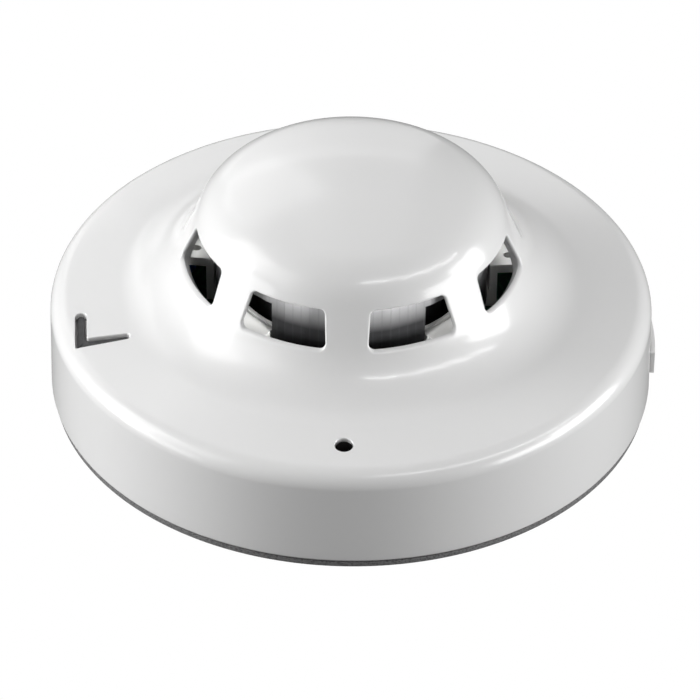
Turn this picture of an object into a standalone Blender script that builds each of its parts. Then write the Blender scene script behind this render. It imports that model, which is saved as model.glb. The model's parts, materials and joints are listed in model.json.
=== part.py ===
"""Point heat detector, rate-of-rise and fixed-temperature, with its mounting base.

World frame: metres, +Z from the ceiling-side back face (z = 0) towards the dome, the detector's axis on Z,
the indicator lamp at -Y. Azimuth (az) is counted from -Y towards +X, so a local +X piece sits at az
after a turn of az - 90 degrees about Z. All constants are in millimetres.
"""

import math

import bmesh
import bpy
from mathutils import Matrix, Vector

MM = 0.001

# ---------------------------------------------------------------- outer cover
BODY_R = 50.0            # skirt radius at its foot
SKIRT_FOOT_Z = 1.2       # the skirt stops above the gasket
SHOULDER_R = 3.2         # rounding between skirt and annulus
SHOULDER_C = (46.55, 15.3)
ANNULUS_SLOPE = 7.0      # degrees
FILLET_X = 38.2          # where the annulus runs into the cage
FILLET_R = 13.0
CAGE_WALL = 66.6         # degrees from horizontal
CAGE_TOP_Z = 33.4
BROW_R = 9.8
CROWN_END = 19.0         # degrees
WALL = 2.0
COVER_STEPS = 48

# ---------------------------------------------------------------- windows in the cage
WINDOW_COUNT = 8
WINDOW_FIRST = 22.5
WINDOW_Z = (26.4, 32.4)
WINDOW_HALF = (7.45, 6.2)   # half widths at the foot and at the head
WINDOW_CORNER = 0.9

# ---------------------------------------------------------------- marks, lamp, latch opening
LAMP_R = 42.5
LAMP_HOLE_R = 1.65
PIPE_R = 1.35
MARK_HEEL = (-44.25, -18.35)      # outer corner where the two strokes meet
MARK_CROOK = (-42.55, -16.00)     # inner corner
MARK_END_A = (-43.95, -10.35, 0.92)   # round end of the stroke that runs back: centre and radius
MARK_END_B = (-36.15, -16.13, 0.70)   # round end of the stroke that runs inward and narrows
TAB_AZ = 92.0
TAB_HALF = 5.2           # degrees
TAB_Z = (4.1, 8.3)
TAB_FACE_R = 50.7

# ---------------------------------------------------------------- mounting base
BASE_R = 47.1
FLOOR_T = 2.0
RIM_TOP = 3.4
ENTRY_R = 11.0
HOOK_AZ = (32.0, 152.0, 272.0)
HOOK_HALF = 9.0
TWIST = 18.0             # bayonet travel, degrees
TERMINAL_AZ = (45.0, 135.0, 225.0, 315.0)
TERMINAL_R = 19.5
SLOT_R = 28.0            # fixing slots, middle radius
SLOT_LEN = 8.4
SLOT_W = 4.8

# ---------------------------------------------------------------- chassis, board
PLATE_Z = (8.6, 10.2)
PLATE_R = 46.6
BOARD_Z = (11.6, 13.2)
BOARD_R = 44.0
PILLAR_AZ = (60.0, 180.0, 300.0)
PILLAR_R = 39.0
BOARD_SCREW_AZ = (90.0, 210.0, 330.0)
BOARD_SCREW_R = 31.5
BLADE_R = 27.0

# ---------------------------------------------------------------- sensing chamber
DRUM_R = 22.4
DRUM_T = 0.7
DRUM_FOOT_Z = 17.1
DRUM_TOP_Z = 33.4
NOTCH_AZ = (45.0, 135.0, 225.0, 315.0)
NOTCH_HALF = 11.5
NOTCH_R = 17.9
NOTCH_TOP = 28.6
EAR_TOP = 22.6
EAR_R = (20.0, 24.8)
WING_AZ = (107.0, 253.0)
WING_HALF = 12.0
WING_TOP = 22.0
BORE_R = 11.6


# ================================================================ helpers
for old in list(bpy.data.objects):
    bpy.data.objects.remove(old, do_unlink=True)

PARTS = bpy.data.collections.new("heat_detector")
CUTTERS = bpy.data.collections.new("cutters")
for group in (PARTS, CUTTERS):
    bpy.context.scene.collection.children.link(group)

base_frame = bpy.data.objects.new("base_frame", None)
head_frame = bpy.data.objects.new("head_frame", None)
for empty in (base_frame, head_frame):
    PARTS.objects.link(empty)
head_frame.parent = base_frame


def material(name, colour, rough, metal=0.0):
    m = bpy.data.materials.new(name)
    m.use_nodes = True
    p = m.node_tree.nodes["Principled BSDF"]
    p.inputs["Base Color"].default_value = (*colour, 1.0)
    p.inputs["Roughness"].default_value = rough
    p.inputs["Metallic"].default_value = metal
    m.diffuse_color = (*colour, 1.0)
    return m


WHITE = material("cover_white", (0.86, 0.86, 0.85), 0.28)
BASE_WHITE = material("base_white", (0.80, 0.80, 0.78), 0.45)
BLACK = material("chassis_black", (0.03, 0.03, 0.032), 0.5)
FOAM = material("gasket_foam", (0.09, 0.09, 0.09), 0.9)
INLAY = material("mark_grey", (0.10, 0.10, 0.10), 0.6)
SMOKED = material("lamp_smoked", (0.03, 0.006, 0.006), 0.12)
LAMP = material("lamp_red", (0.45, 0.02, 0.02), 0.3)
BOARD = material("board_green", (0.02, 0.08, 0.045), 0.45)
CHIP = material("component_black", (0.02, 0.02, 0.022), 0.4)
CAN = material("capacitor_sleeve", (0.03, 0.05, 0.12), 0.4)
BLUE = material("varistor_blue", (0.03, 0.10, 0.35), 0.45)
TAN = material("resistor_tan", (0.55, 0.42, 0.28), 0.5)
STEEL = material("screw_steel", (0.62, 0.62, 0.63), 0.3, 1.0)
SPRING = material("spring_steel", (0.55, 0.55, 0.56), 0.25, 1.0)
BRASS = material("contact_brass", (0.72, 0.53, 0.24), 0.3, 1.0)
DRUM = material("chamber_dark", (0.12, 0.12, 0.125), 0.35, 0.6)
EAR = material("chamber_base_white", (0.82, 0.82, 0.80), 0.4)
FOIL = material("diaphragm_bronze", (0.66, 0.45, 0.28), 0.3, 1.0)
SOLDER = material("fusible_alloy", (0.55, 0.55, 0.52), 0.4, 1.0)


def mesh_from(bm, name):
    mesh = bpy.data.meshes.new(name)
    bm.to_mesh(mesh)
    bm.free()
    return mesh


def place(obj, az=None, at=None):
    if az is not None:
        obj.rotation_euler = (0.0, 0.0, math.radians(az - 90.0))
    if at is not None:
        obj.location = Vector(at) * MM
    return obj


def part(name, mesh, mat, frame=None, az=None, at=None):
    """A named piece of the detector."""
    obj = bpy.data.objects.new(name, mesh)
    if not mesh.materials:
        mesh.materials.append(mat)
    PARTS.objects.link(obj)
    obj.parent = frame or head_frame
    return place(obj, az, at)


def tool(name, mesh, az=None, at=None):
    """A shape that is only added to, or taken from, a piece."""
    obj = bpy.data.objects.new(name, mesh)
    CUTTERS.objects.link(obj)
    obj.hide_render = True
    obj.display_type = "WIRE"
    return place(obj, az, at)


def boolean(obj, other, operation="DIFFERENCE"):
    mod = obj.modifiers.new(other.name, "BOOLEAN")
    mod.operation = operation
    mod.object = other
    mod.solver = "EXACT"
    return obj


def box_mesh(name, lo, hi, bevel=0.0, steps=2, top_scale=1.0):
    """A box between two corners, with rounded edges if bevel is given."""
    bm = bmesh.new()
    bmesh.ops.create_cube(bm, size=1.0)
    lo, hi = Vector(lo) * MM, Vector(hi) * MM
    for v in bm.verts:
        v.co = Vector([lo[i] + (v.co[i] + 0.5) * (hi[i] - lo[i]) for i in range(3)])
    if bevel:
        bmesh.ops.bevel(bm, geom=bm.edges[:], offset=bevel * MM, segments=steps, profile=0.5, affect="EDGES")
    return mesh_from(bm, name)


def cyl_mesh(name, r, z0, z1, steps=20, at=(0.0, 0.0), r_top=None, axis="Z"):
    """A cylinder or cone between two heights, or between two x positions with axis X."""
    bm = bmesh.new()
    bmesh.ops.create_cone(bm, cap_ends=True, segments=steps, radius1=r * MM,
                          radius2=(r if r_top is None else r_top) * MM, depth=abs(z1 - z0) * MM)
    middle = (z0 + z1) / 2 * MM
    if axis == "X":
        bmesh.ops.rotate(bm, verts=bm.verts, matrix=Matrix.Rotation(math.radians(90), 3, "Y"))
        bmesh.ops.translate(bm, verts=bm.verts, vec=(middle, at[0] * MM, at[1] * MM))
    else:
        bmesh.ops.translate(bm, verts=bm.verts, vec=(at[0] * MM, at[1] * MM, middle))
    mesh = mesh_from(bm, name)
    mesh.shade_smooth()
    mesh.set_sharp_from_angle(angle=math.radians(35))
    return mesh


def turn(obj_maker, name, profile, steps, closed=False, **kwargs):
    """A turned piece: the profile runs down its outer side at +X and is screwed once round Z."""
    mesh = bpy.data.meshes.new(name)
    verts = [(r * MM, 0.0, z * MM) for r, z in profile]
    edges = [(i, i + 1) for i in range(len(verts) - 1)]
    if closed:
        edges.append((len(verts) - 1, 0))
    mesh.from_pydata(verts, edges, [])
    obj = obj_maker(name, mesh, **kwargs)
    mod = obj.modifiers.new("turn", "SCREW")
    mod.axis = "Z"
    mod.angle = math.radians(360.0)
    mod.steps = steps
    mod.render_steps = steps
    mod.use_merge_vertices = True
    mod.merge_threshold = 0.00001
    mod.use_smooth_shade = True
    return obj


def sector_mesh(name, outline, half, steps=4, mid=0.0):
    """A closed outline in the r-z plane, spun through +-half degrees about Z around local az 90 (+X)."""
    bm = bmesh.new()
    verts = [bm.verts.new((r * MM, 0.0, z * MM)) for r, z in outline]
    face = bm.faces.new(verts)
    bmesh.ops.rotate(bm, verts=bm.verts, matrix=Matrix.Rotation(math.radians(mid - half), 3, "Z"))
    bmesh.ops.spin(bm, geom=[face] + list(face.edges) + list(face.verts), cent=(0, 0, 0), axis=(0, 0, 1),
                   angle=math.radians(2 * half), steps=steps, use_duplicate=False)
    bmesh.ops.recalc_face_normals(bm, faces=bm.faces[:])
    return mesh_from(bm, name)


def rect(r0, r1, z0, z1):
    return [(r0, z0), (r1, z0), (r1, z1), (r0, z1)]


def strip(name, path, width, thick, mat, frame, az):
    """A bent metal strip: a path in the r-z plane, drawn out to its width, then given its thickness."""
    bm = bmesh.new()
    chain = [bm.verts.new((r * MM, -width / 2 * MM, z * MM)) for r, z in path]
    edges = [bm.edges.new((chain[i], chain[i + 1])) for i in range(len(chain) - 1)]
    out = bmesh.ops.extrude_edge_only(bm, edges=edges)
    bmesh.ops.translate(bm, verts=[v for v in out["geom"] if isinstance(v, bmesh.types.BMVert)],
                        vec=(0, width * MM, 0))
    obj = part(name, mesh_from(bm, name), mat, frame, az=az)
    mod = obj.modifiers.new("sheet", "SOLIDIFY")
    mod.thickness = thick * MM
    mod.offset = 0.0
    mod.use_even_offset = True
    return obj


def arc(centre, radius, a0, a1, count, sign=1.0):
    """Points on an arc; a is the angle of the surface's slope, 0 on top and 90 on a vertical wall."""
    out = []
    for i in range(count + 1):
        a = math.radians(a0 + (a1 - a0) * i / count)
        out.append((centre[0] + sign * radius * math.sin(a), centre[1] + sign * radius * math.cos(a)))
    return out


def cover_profile(t, fine):
    """The cover's skin, t inside its outer face, from the axis down to the skirt's foot."""
    slope = math.radians(ANNULUS_SLOPE)
    wall = math.radians(CAGE_WALL)
    sx = SHOULDER_C[0] + SHOULDER_R * math.sin(slope)
    sz = SHOULDER_C[1] + SHOULDER_R * math.cos(slope)
    fz = sz + (sx - FILLET_X) * math.tan(slope)
    fillet = (FILLET_X + FILLET_R * math.sin(slope), fz + FILLET_R * math.cos(slope))
    foot = (fillet[0] - FILLET_R * math.sin(wall), fillet[1] - FILLET_R * math.cos(wall))
    top_r = foot[0] - (CAGE_TOP_Z - foot[1]) / math.tan(wall)
    brow = (top_r - BROW_R * math.sin(wall), CAGE_TOP_Z - BROW_R * math.cos(wall))
    end = math.radians(CROWN_END)
    edge = (brow[0] + BROW_R * math.sin(end), brow[1] + BROW_R * math.cos(end))
    crown_r = edge[0] / math.sin(end)
    crown = (0.0, edge[1] - crown_r * math.cos(end))
    n = (4, 5, 7, 5) if fine else (2, 3, 4, 2)
    points = arc(crown, crown_r - t, 0.0, CROWN_END, n[0])[:-1]
    points += arc(brow, BROW_R - t, CROWN_END, CAGE_WALL, n[1])
    points += arc(fillet, -(FILLET_R + t), CAGE_WALL, ANNULUS_SLOPE, n[2])
    points += arc(SHOULDER_C, SHOULDER_R - t, ANNULUS_SLOPE, 90.0, n[3])
    return points


# ================================================================ outer cover
outer = cover_profile(0.0, True) + [(BODY_R, SKIRT_FOOT_Z + 0.4), (BODY_R - 0.35, SKIRT_FOOT_Z)]
inner = cover_profile(WALL, False)
profile = outer + [(BODY_R - WALL, SKIRT_FOOT_Z)] + inner[::-1]
cover = turn(lambda n, m: part(n, m, WHITE), "outer_cover", profile, COVER_STEPS)

for i, az in enumerate(PILLAR_AZ):
    post = tool(f"cover_pillar_{i + 1}", cyl_mesh("cover_pillar", 2.6, 10.5, 18.2, 16, (PILLAR_R, 0)), az=az)
    boolean(cover, post, "UNION")
for i, az in enumerate(PILLAR_AZ):
    hole = tool(f"cover_pillar_hole_{i + 1}", cyl_mesh("cover_pillar_hole", 1.5, 9.5, 16.2, 12, (PILLAR_R, 0)), az=az)
    boolean(cover, hole)

for i in range(WINDOW_COUNT):
    az = WINDOW_FIRST + i * 360.0 / WINDOW_COUNT
    bm = bmesh.new()
    bmesh.ops.create_cube(bm, size=1.0)
    for v in bm.verts:
        high = v.co.z > 0
        half = WINDOW_HALF[1 if high else 0]
        v.co = Vector((23.0 if v.co.x < 0 else 34.0, half if v.co.y > 0 else -half, WINDOW_Z[1 if high else 0])) * MM
    along = [e for e in bm.edges if abs(e.verts[0].co.x - e.verts[1].co.x) > 0.005]
    bmesh.ops.bevel(bm, geom=along, offset=WINDOW_CORNER * MM, segments=2, profile=0.5, affect="EDGES")
    boolean(cover, tool(f"window_{i + 1}", mesh_from(bm, "window"), az=az))

boolean(cover, tool("lamp_hole", cyl_mesh("lamp_hole", LAMP_HOLE_R, 12.0, 24.0, 20, (LAMP_R, 0)), az=0.0))

boolean(cover, tool("tab_opening", sector_mesh("tab_opening", rect(46.8, 54.0, TAB_Z[0] - 0.9, TAB_Z[1] + 0.3),
                                               TAB_HALF + 0.35, 2), az=TAB_AZ))


def mark_outline(grow):
    """The mark's outline, counter-clockwise, grown by grow."""
    def end(centre, a0, a1):
        return [Vector((centre[0] + centre[2] * math.cos(math.radians(a0 + (a1 - a0) * k / 4)),
                        centre[1] + centre[2] * math.sin(math.radians(a0 + (a1 - a0) * k / 4)))) for k in range(5)]

    points = [Vector(MARK_HEEL)] + end(MARK_END_B, -80.0, 85.0) + [Vector(MARK_CROOK)] + end(MARK_END_A, 0.0, 180.0)
    out = []
    for i, p in enumerate(points):
        e0, e1 = (p - points[i - 1]).normalized(), (points[(i + 1) % len(points)] - p).normalized()
        n0, n1 = Vector((e0.y, -e0.x)), Vector((e1.y, -e1.x))
        out.append(p + (n0 + n1) * (grow / (1.0 + n0.dot(n1))))
    return out


def mark_mesh(name, grow, z0, z1):
    """The locating mark's outline with thickness, on its own sloped plane."""
    outline = mark_outline(grow)
    middle = (Vector(MARK_END_A[:2]) + Vector(MARK_END_B[:2])) / 2
    out_dir = Vector((middle.x, middle.y)).normalized()
    tilt = math.tan(math.radians(ANNULUS_SLOPE))
    top = cover_profile(0.0, True)
    slope = math.radians(ANNULUS_SLOPE)
    sx = SHOULDER_C[0] + SHOULDER_R * math.sin(slope)
    sz = SHOULDER_C[1] + SHOULDER_R * math.cos(slope)
    bm = bmesh.new()
    rows = []
    for level in (z0, z1):
        row = []
        for p in outline:
            along = Vector((p.x, p.y)).dot(out_dir)
            row.append(bm.verts.new((p.x * MM, p.y * MM, (sz + (sx - along) * tilt + level) * MM)))
        rows.append(row)
    face = bm.faces.new(rows[0])
    bm.faces.new(rows[1])
    n = len(outline)
    for i in range(n):
        j = (i + 1) % n
        bm.faces.new((rows[0][i], rows[0][j], rows[1][j], rows[1][i]))
    bmesh.ops.recalc_face_normals(bm, faces=bm.faces[:])
    return mesh_from(bm, name)


boolean(cover, tool("mark_pocket", mark_mesh("mark_pocket", 0.0, -1.25, 4.0)))
part("locating_mark", mark_mesh("locating_mark", -0.3, -0.95, -0.45), INLAY)

# ================================================================ lamp and its light pipe
lamp_top = SHOULDER_C[1] + SHOULDER_R * math.cos(math.radians(ANNULUS_SLOPE)) + (46.9 - LAMP_R) * math.tan(math.radians(ANNULUS_SLOPE))
turn(lambda n, m: part(n, m, SMOKED, at=(0, -LAMP_R, 0)), "light_pipe",
     [(0.0, lamp_top + 0.05), (0.75, lamp_top - 0.05), (1.2, lamp_top - 0.3), (PIPE_R, lamp_top - 0.6), (PIPE_R, 15.6),
      (1.9, 15.2), (1.9, 14.7), (0.0, 14.7)], 16)
part("lamp", box_mesh("lamp", (-1.0, -0.7, 13.5), (1.0, 0.7, 14.4), 0.12, 1), LAMP, at=(0, -LAMP_R, 0))

# ================================================================ mounting base
base = turn(lambda n, m: part(n, m, BASE_WHITE, base_frame), "mounting_base",
            [(12.6, RIM_TOP), (12.6, FLOOR_T), (45.4, FLOOR_T), (45.4, RIM_TOP), (BASE_R - 0.3, RIM_TOP),
             (BASE_R, RIM_TOP - 0.3), (BASE_R, 0.0), (ENTRY_R, 0.0), (ENTRY_R, RIM_TOP)][::1], 48, closed=True)
hook_outline = [(42.6, 5.2), (44.7, 5.2), (44.7, 1.2), (46.6, 1.2), (46.6, 6.6), (42.6, 6.6)]
for i, az in enumerate(HOOK_AZ):
    boolean(base, tool(f"hook_{i + 1}", sector_mesh("hook", hook_outline, HOOK_HALF, 4), az=az), "UNION")
    boolean(base, tool(f"hook_stop_{i + 1}", sector_mesh("hook_stop", rect(42.9, 45.3, 1.0, 6.0), 0.8, 1), az=az - 8.0), "UNION")
for i, az in enumerate(TERMINAL_AZ):
    boolean(base, tool(f"terminal_boss_{i + 1}", cyl_mesh("terminal_boss", 3.6, 1.0, 3.0, 16, (TERMINAL_R, 0)), az=az), "UNION")
for i, az in enumerate(TERMINAL_AZ):
    boolean(base, tool(f"terminal_hole_{i + 1}", cyl_mesh("terminal_hole", 1.85, 0.9, 4.0, 12, (TERMINAL_R, 0)), az=az))
for i, az in enumerate((0.0, 90.0, 180.0, 270.0)):
    long, wide = SLOT_LEN / 2, SLOT_W / 2
    if az in (90.0, 270.0):
        lo, hi = (SLOT_R - long, -wide, -1.0), (SLOT_R + long, wide, 4.0)
    else:
        lo, hi = (30.15 - wide, -long, -1.0), (30.15 + wide, long, 4.0)
    bm = bmesh.new()
    bmesh.ops.create_cube(bm, size=1.0)
    for v in bm.verts:
        v.co = Vector([(lo[k] + (v.co[k] + 0.5) * (hi[k] - lo[k])) * MM for k in range(3)])
    upright = [e for e in bm.edges if abs(e.verts[0].co.z - e.verts[1].co.z) > 0.002]
    bmesh.ops.bevel(bm, geom=upright, offset=1.2 * MM, segments=2, profile=0.5, affect="EDGES")
    boolean(base, tool(f"fixing_slot_{i + 1}", mesh_from(bm, "fixing_slot"), az=az))

turn(lambda n, m: part(n, m, FOAM, base_frame), "base_gasket",
     [(49.3, 0.9), (49.6, 0.6), (49.6, 0.0), (47.4, 0.0), (47.4, 0.9)], 48, closed=True)

for i, az in enumerate(TERMINAL_AZ):
    k = i + 1
    x, y = TERMINAL_R * math.sin(math.radians(az)), -TERMINAL_R * math.cos(math.radians(az))
    clip = strip(f"terminal_clip_{k}", [(15.6, 3.7), (23.6, 3.7), (25.2, 2.7), (32.6, 2.7), (33.6, 3.2)], 6.4, 0.8,
                 BRASS, base_frame, az)
    boolean(clip, tool(f"clip_hole_{k}", cyl_mesh("clip_hole", 1.85, 2.0, 6.0, 12, (TERMINAL_R, 0)), az=az))
    washer = part(f"clamp_washer_{k}", box_mesh("clamp_washer", (-3.1, -3.1, 4.4), (3.1, 3.1, 5.2), 0.2, 1), STEEL,
                  base_frame, az=az)
    washer.location = Vector((x, y, 0)) * MM
    boolean(washer, tool(f"washer_hole_{k}", cyl_mesh("washer_hole", 1.85, 3.0, 6.0, 12), at=(x, y, 0)))
    screw = turn(lambda n, m: part(n, m, STEEL, base_frame, at=(x, y, 0)), f"terminal_screw_{k}",
                 [(0.0, 7.5), (1.5, 7.4), (2.4, 6.9), (2.7, 6.4), (2.7, 5.5), (1.5, 5.5), (1.5, 1.4), (1.2, 1.2), (0.0, 1.2)], 16)
    boolean(screw, tool(f"screw_slot_{k}", box_mesh("screw_slot", (-3.4, -0.35, 6.5), (3.4, 0.35, 9.0)), at=(x, y, 0)))

# ================================================================ chassis
chassis = turn(lambda n, m: part(n, m, BLACK), "inner_chassis",
               [(0.0, PLATE_Z[1]), (45.2, PLATE_Z[1]), (45.2, 14.0), (PLATE_R, 14.0), (PLATE_R, PLATE_Z[0]), (0.0, PLATE_Z[0])], 48)
lug_outline = [(39.9, 9.4), (39.9, 3.4), (44.2, 3.4), (44.2, 4.8), (42.1, 4.8), (42.1, 9.4)]
for i, az in enumerate(HOOK_AZ):
    boolean(chassis, tool(f"lug_{i + 1}", sector_mesh("lug", lug_outline, 6.6, 3), az=az), "UNION")
for i, az in enumerate(BOARD_SCREW_AZ):
    boolean(chassis, tool(f"standoff_{i + 1}", cyl_mesh("standoff", 2.6, 9.4, 11.3, 14, (BOARD_SCREW_R, 0)), az=az), "UNION")
boolean(chassis, tool("spring_seat", box_mesh("spring_seat", (36.6, -3.0, 4.0), (38.2, 3.0, 9.4)), az=TAB_AZ), "UNION")
for i, az in enumerate(PILLAR_AZ):
    boolean(chassis, tool(f"chassis_screw_hole_{i + 1}", cyl_mesh("chassis_screw_hole", 1.6, 8.0, 11.0, 12, (PILLAR_R, 0)), az=az))
for i, az in enumerate(BOARD_SCREW_AZ):
    boolean(chassis, tool(f"standoff_hole_{i + 1}", cyl_mesh("standoff_hole", 1.3, 9.2, 12.0, 10, (BOARD_SCREW_R, 0)), az=az))
for i, az in enumerate(TERMINAL_AZ):
    boolean(chassis, tool(f"blade_slot_{i + 1}", box_mesh("blade_slot", (BLADE_R - 0.8, -2.8, 8.0), (BLADE_R + 0.8, 2.8, 11.0)), az=az))
boolean(chassis, tool("setting_hole", cyl_mesh("setting_hole", 3.0, 8.0, 11.0, 20)))

# ================================================================ circuit board and what is on it
board = part("circuit_board", cyl_mesh("circuit_board", BOARD_R, *BOARD_Z, 40), BOARD)
for i, az in enumerate(PILLAR_AZ):
    boolean(board, tool(f"board_pillar_hole_{i + 1}", cyl_mesh("board_pillar_hole", 3.1, 11.0, 14.0, 14, (PILLAR_R, 0)), az=az))
for i, az in enumerate(BOARD_SCREW_AZ):
    boolean(board, tool(f"board_screw_hole_{i + 1}", cyl_mesh("board_screw_hole", 1.4, 11.0, 14.0, 10, (BOARD_SCREW_R, 0)), az=az))
for i, az in enumerate(TERMINAL_AZ):
    boolean(board, tool(f"board_blade_slot_{i + 1}", box_mesh("board_blade_slot", (BLADE_R - 0.7, -2.7, 11.0), (BLADE_R + 0.7, 2.7, 14.0)), az=az))
boolean(board, tool("board_centre_hole", cyl_mesh("board_centre_hole", 3.6, 11.0, 14.0, 20)))

for i, az in enumerate(TERMINAL_AZ):
    strip(f"contact_blade_{i + 1}", [(BLADE_R, 14.6), (BLADE_R, 3.7), (31.6, 3.7), (32.8, 4.4)], 4.6, 0.6, BRASS, head_frame, az)


def screw_mesh(name, head_r, head, shank_r, tip, at_r):
    """A pan-head screw along Z at radius at_r: head spans two heights, the shank ends at tip."""
    bm = bmesh.new()
    lo, hi = sorted(head)
    up = tip > hi
    base_z = lo if up else hi
    ring = [(0.0, base_z), (head_r * 0.75, base_z), (head_r, base_z + (0.5 if up else -0.5)), (head_r, hi if up else lo),
            (shank_r, hi if up else lo), (shank_r, tip), (0.0, tip)]
    verts = [bm.verts.new((r * MM, 0, z * MM)) for r, z in ring]
    edges = [bm.edges.new((verts[i], verts[i + 1])) for i in range(len(verts) - 1)]
    bmesh.ops.spin(bm, geom=edges + verts, cent=(0, 0, 0), axis=(0, 0, 1), angle=math.radians(360), steps=12)
    bmesh.ops.remove_doubles(bm, verts=bm.verts[:], dist=0.00001)
    bmesh.ops.recalc_face_normals(bm, faces=bm.faces[:])
    bmesh.ops.translate(bm, verts=bm.verts[:], vec=(at_r * MM, 0, 0))
    return mesh_from(bm, name)


for i, az in enumerate(PILLAR_AZ):
    part(f"cover_screw_{i + 1}", screw_mesh("cover_screw", 2.5, (6.5, 8.3), 1.2, 15.4, PILLAR_R), STEEL, az=az)
for i, az in enumerate(BOARD_SCREW_AZ):
    part(f"board_screw_{i + 1}", screw_mesh("board_screw", 2.2, (13.5, 14.9), 0.95, 9.6, BOARD_SCREW_R), STEEL, az=az)

part("controller_chip", box_mesh("controller_chip", (33.0, -3.2, 13.5), (39.4, 3.2, 15.0), 0.2, 1), CHIP, az=20.0)
part("line_capacitor", cyl_mesh("line_capacitor", 2.9, 13.5, 17.6, 20, (30.5, 0)), CAN, az=292.0)
part("surge_varistor", box_mesh("surge_varistor", (28.0, -1.1, 13.5), (34.0, 1.1, 17.6), 0.9, 2), BLUE, az=250.0)
part("switching_transistor", box_mesh("switching_transistor", (29.0, -2.2, 13.5), (31.4, 2.2, 17.8), 0.5, 1), CHIP, az=112.0)
for i, az in enumerate((256.0, 263.0, 270.0, 277.0)):
    part(f"diode_{i + 1}", cyl_mesh("diode", 1.0, 33.0, 37.2, 10, (0, 14.8), axis="X"), CHIP, az=az)
for i, az in enumerate((134.0, 142.0, 150.0, 158.0)):
    part(f"resistor_{i + 1}", cyl_mesh("resistor", 0.9, 31.8, 37.0, 10, (0, 14.7), axis="X"), TAN, az=az)

# ================================================================ sensing chamber
chamber_base = turn(lambda n, m: part(n, m, EAR), "chamber_base",
                    [(22.0, 16.8), (22.0, 13.6), (BORE_R, 13.6), (BORE_R, 16.8)], 40, closed=True)
for i, az in enumerate(NOTCH_AZ):
    boolean(chamber_base, tool(f"ear_{i + 1}", sector_mesh("ear", rect(EAR_R[0], EAR_R[1], 15.0, EAR_TOP), NOTCH_HALF - 1.4, 3), az=az), "UNION")
    boolean(chamber_base, tool(f"ear_slot_{i + 1}", sector_mesh("ear_slot", rect(20.7, 21.2, 21.6, 24.0), NOTCH_HALF, 3), az=az))
wing = [(21.5, 13.6), (24.2, 13.6), (24.2, 20.4), (28.2, 20.4), (28.2, WING_TOP), (22.9, WING_TOP), (22.9, 16.8), (21.5, 16.8)]
for i, az in enumerate(WING_AZ):
    boolean(chamber_base, tool(f"wing_{i + 1}", sector_mesh("wing", wing, WING_HALF, 6), az=az), "UNION")
    boolean(chamber_base, tool(f"wing_hole_{i + 1}", cyl_mesh("wing_hole", 0.8, 19.0, 24.0, 12, (26.3, 0.0)), az=az - 6.0 if az < 180.0 else az + 6.0))
boolean(chamber_base, tool("vent_hole", cyl_mesh("vent_hole", 1.0, 9.0, 24.0, 12, (0, 15.2), axis="X"), az=180.0))


def drum_solid(maker, name, t):
    r, top = DRUM_R - t, DRUM_TOP_Z - t
    rim = 3.4 - t
    points = [(0.0, top + 0.6), (8.0, top + 0.45), (r - rim - 1.0, top)]
    points += arc((r - rim, top - rim - 0.1), rim, 12.0, 90.0, 4)
    points += [(r, DRUM_FOOT_Z - (2.0 if t else 0.0)), (0.0, DRUM_FOOT_Z - (2.0 if t else 0.0))]
    return turn(maker, name, points, 40)


drum = drum_solid(lambda n, m: part(n, m, DRUM), "air_chamber", 0.0)
hollow = drum_solid(tool, "drum_hollow", DRUM_T)
for i, az in enumerate(NOTCH_AZ):
    boolean(drum, tool(f"notch_{i + 1}", sector_mesh("notch", rect(NOTCH_R, 30.0, 12.0, NOTCH_TOP), NOTCH_HALF, 4), az=az))
    boolean(hollow, tool(f"notch_keep_{i + 1}",
                         sector_mesh("notch_keep", rect(NOTCH_R - DRUM_T, 31.0, 10.0, NOTCH_TOP + DRUM_T), NOTCH_HALF + 2.0, 4), az=az))
boolean(drum, hollow)

valve = turn(lambda n, m: part(n, m, BRASS), "leak_valve",
             [(0.0, 10.9), (0.7, 10.9), (0.7, 1.3), (1.5, 1.3), (1.5, 0.0), (0.0, 0.0)], 12)
valve.rotation_euler = (0.0, math.radians(-90.0), math.radians(90.0))
valve.location = Vector((0.0, 23.6, 15.2)) * MM

# diaphragm with its pressed corrugations, and the contact rivet under it
turn(lambda n, m: part(n, m, FOIL), "diaphragm",
     [(0.0, 16.25), (4.4, 16.25), (5.9, 16.55), (7.4, 16.25), (8.9, 16.55), (11.2, 16.3),
      (11.2, 16.05), (8.9, 16.3), (7.4, 16.0), (5.9, 16.3), (4.4, 16.0), (0.0, 16.0)], 24)
turn(lambda n, m: part(n, m, BRASS), "moving_contact",
     [(0.0, 15.7), (1.8, 15.7), (1.8, 15.3), (1.1, 15.2), (1.1, 14.9), (0.0, 14.85)], 14)
turn(lambda n, m: part(n, m, BRASS), "contact_bushing",
     [(4.8, 14.1), (4.8, 13.5), (3.2, 13.5), (3.2, 11.4), (1.55, 11.4), (1.55, 14.1)], 18, closed=True)
setting = turn(lambda n, m: part(n, m, STEEL), "calibration_screw",
               [(0.0, 14.2), (0.9, 14.2), (1.2, 13.9), (1.2, 11.0), (2.4, 11.0), (2.4, 9.5), (0.0, 9.5)], 16)
boolean(setting, tool("setting_slot", box_mesh("setting_slot", (-3.0, -0.35, 9.0), (3.0, 0.35, 10.2))))

# fixed-temperature element: a plunger held off the diaphragm by a ring of fusible alloy
turn(lambda n, m: part(n, m, BRASS), "element_housing",
     [(0.0, 32.4), (3.6, 32.4), (3.6, 24.4), (2.9, 24.4), (2.9, 31.8), (0.0, 31.8)], 18)
turn(lambda n, m: part(n, m, SOLDER), "fusible_collar",
     [(2.5, 26.4), (2.5, 25.2), (1.3, 25.2), (1.3, 26.4)], 16, closed=True)
turn(lambda n, m: part(n, m, STEEL), "release_plunger",
     [(0.0, 31.3), (0.6, 31.3), (0.6, 28.4), (2.2, 28.4), (2.2, 27.5), (0.95, 27.5), (0.95, 17.7), (0.0, 17.6)], 14)


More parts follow.
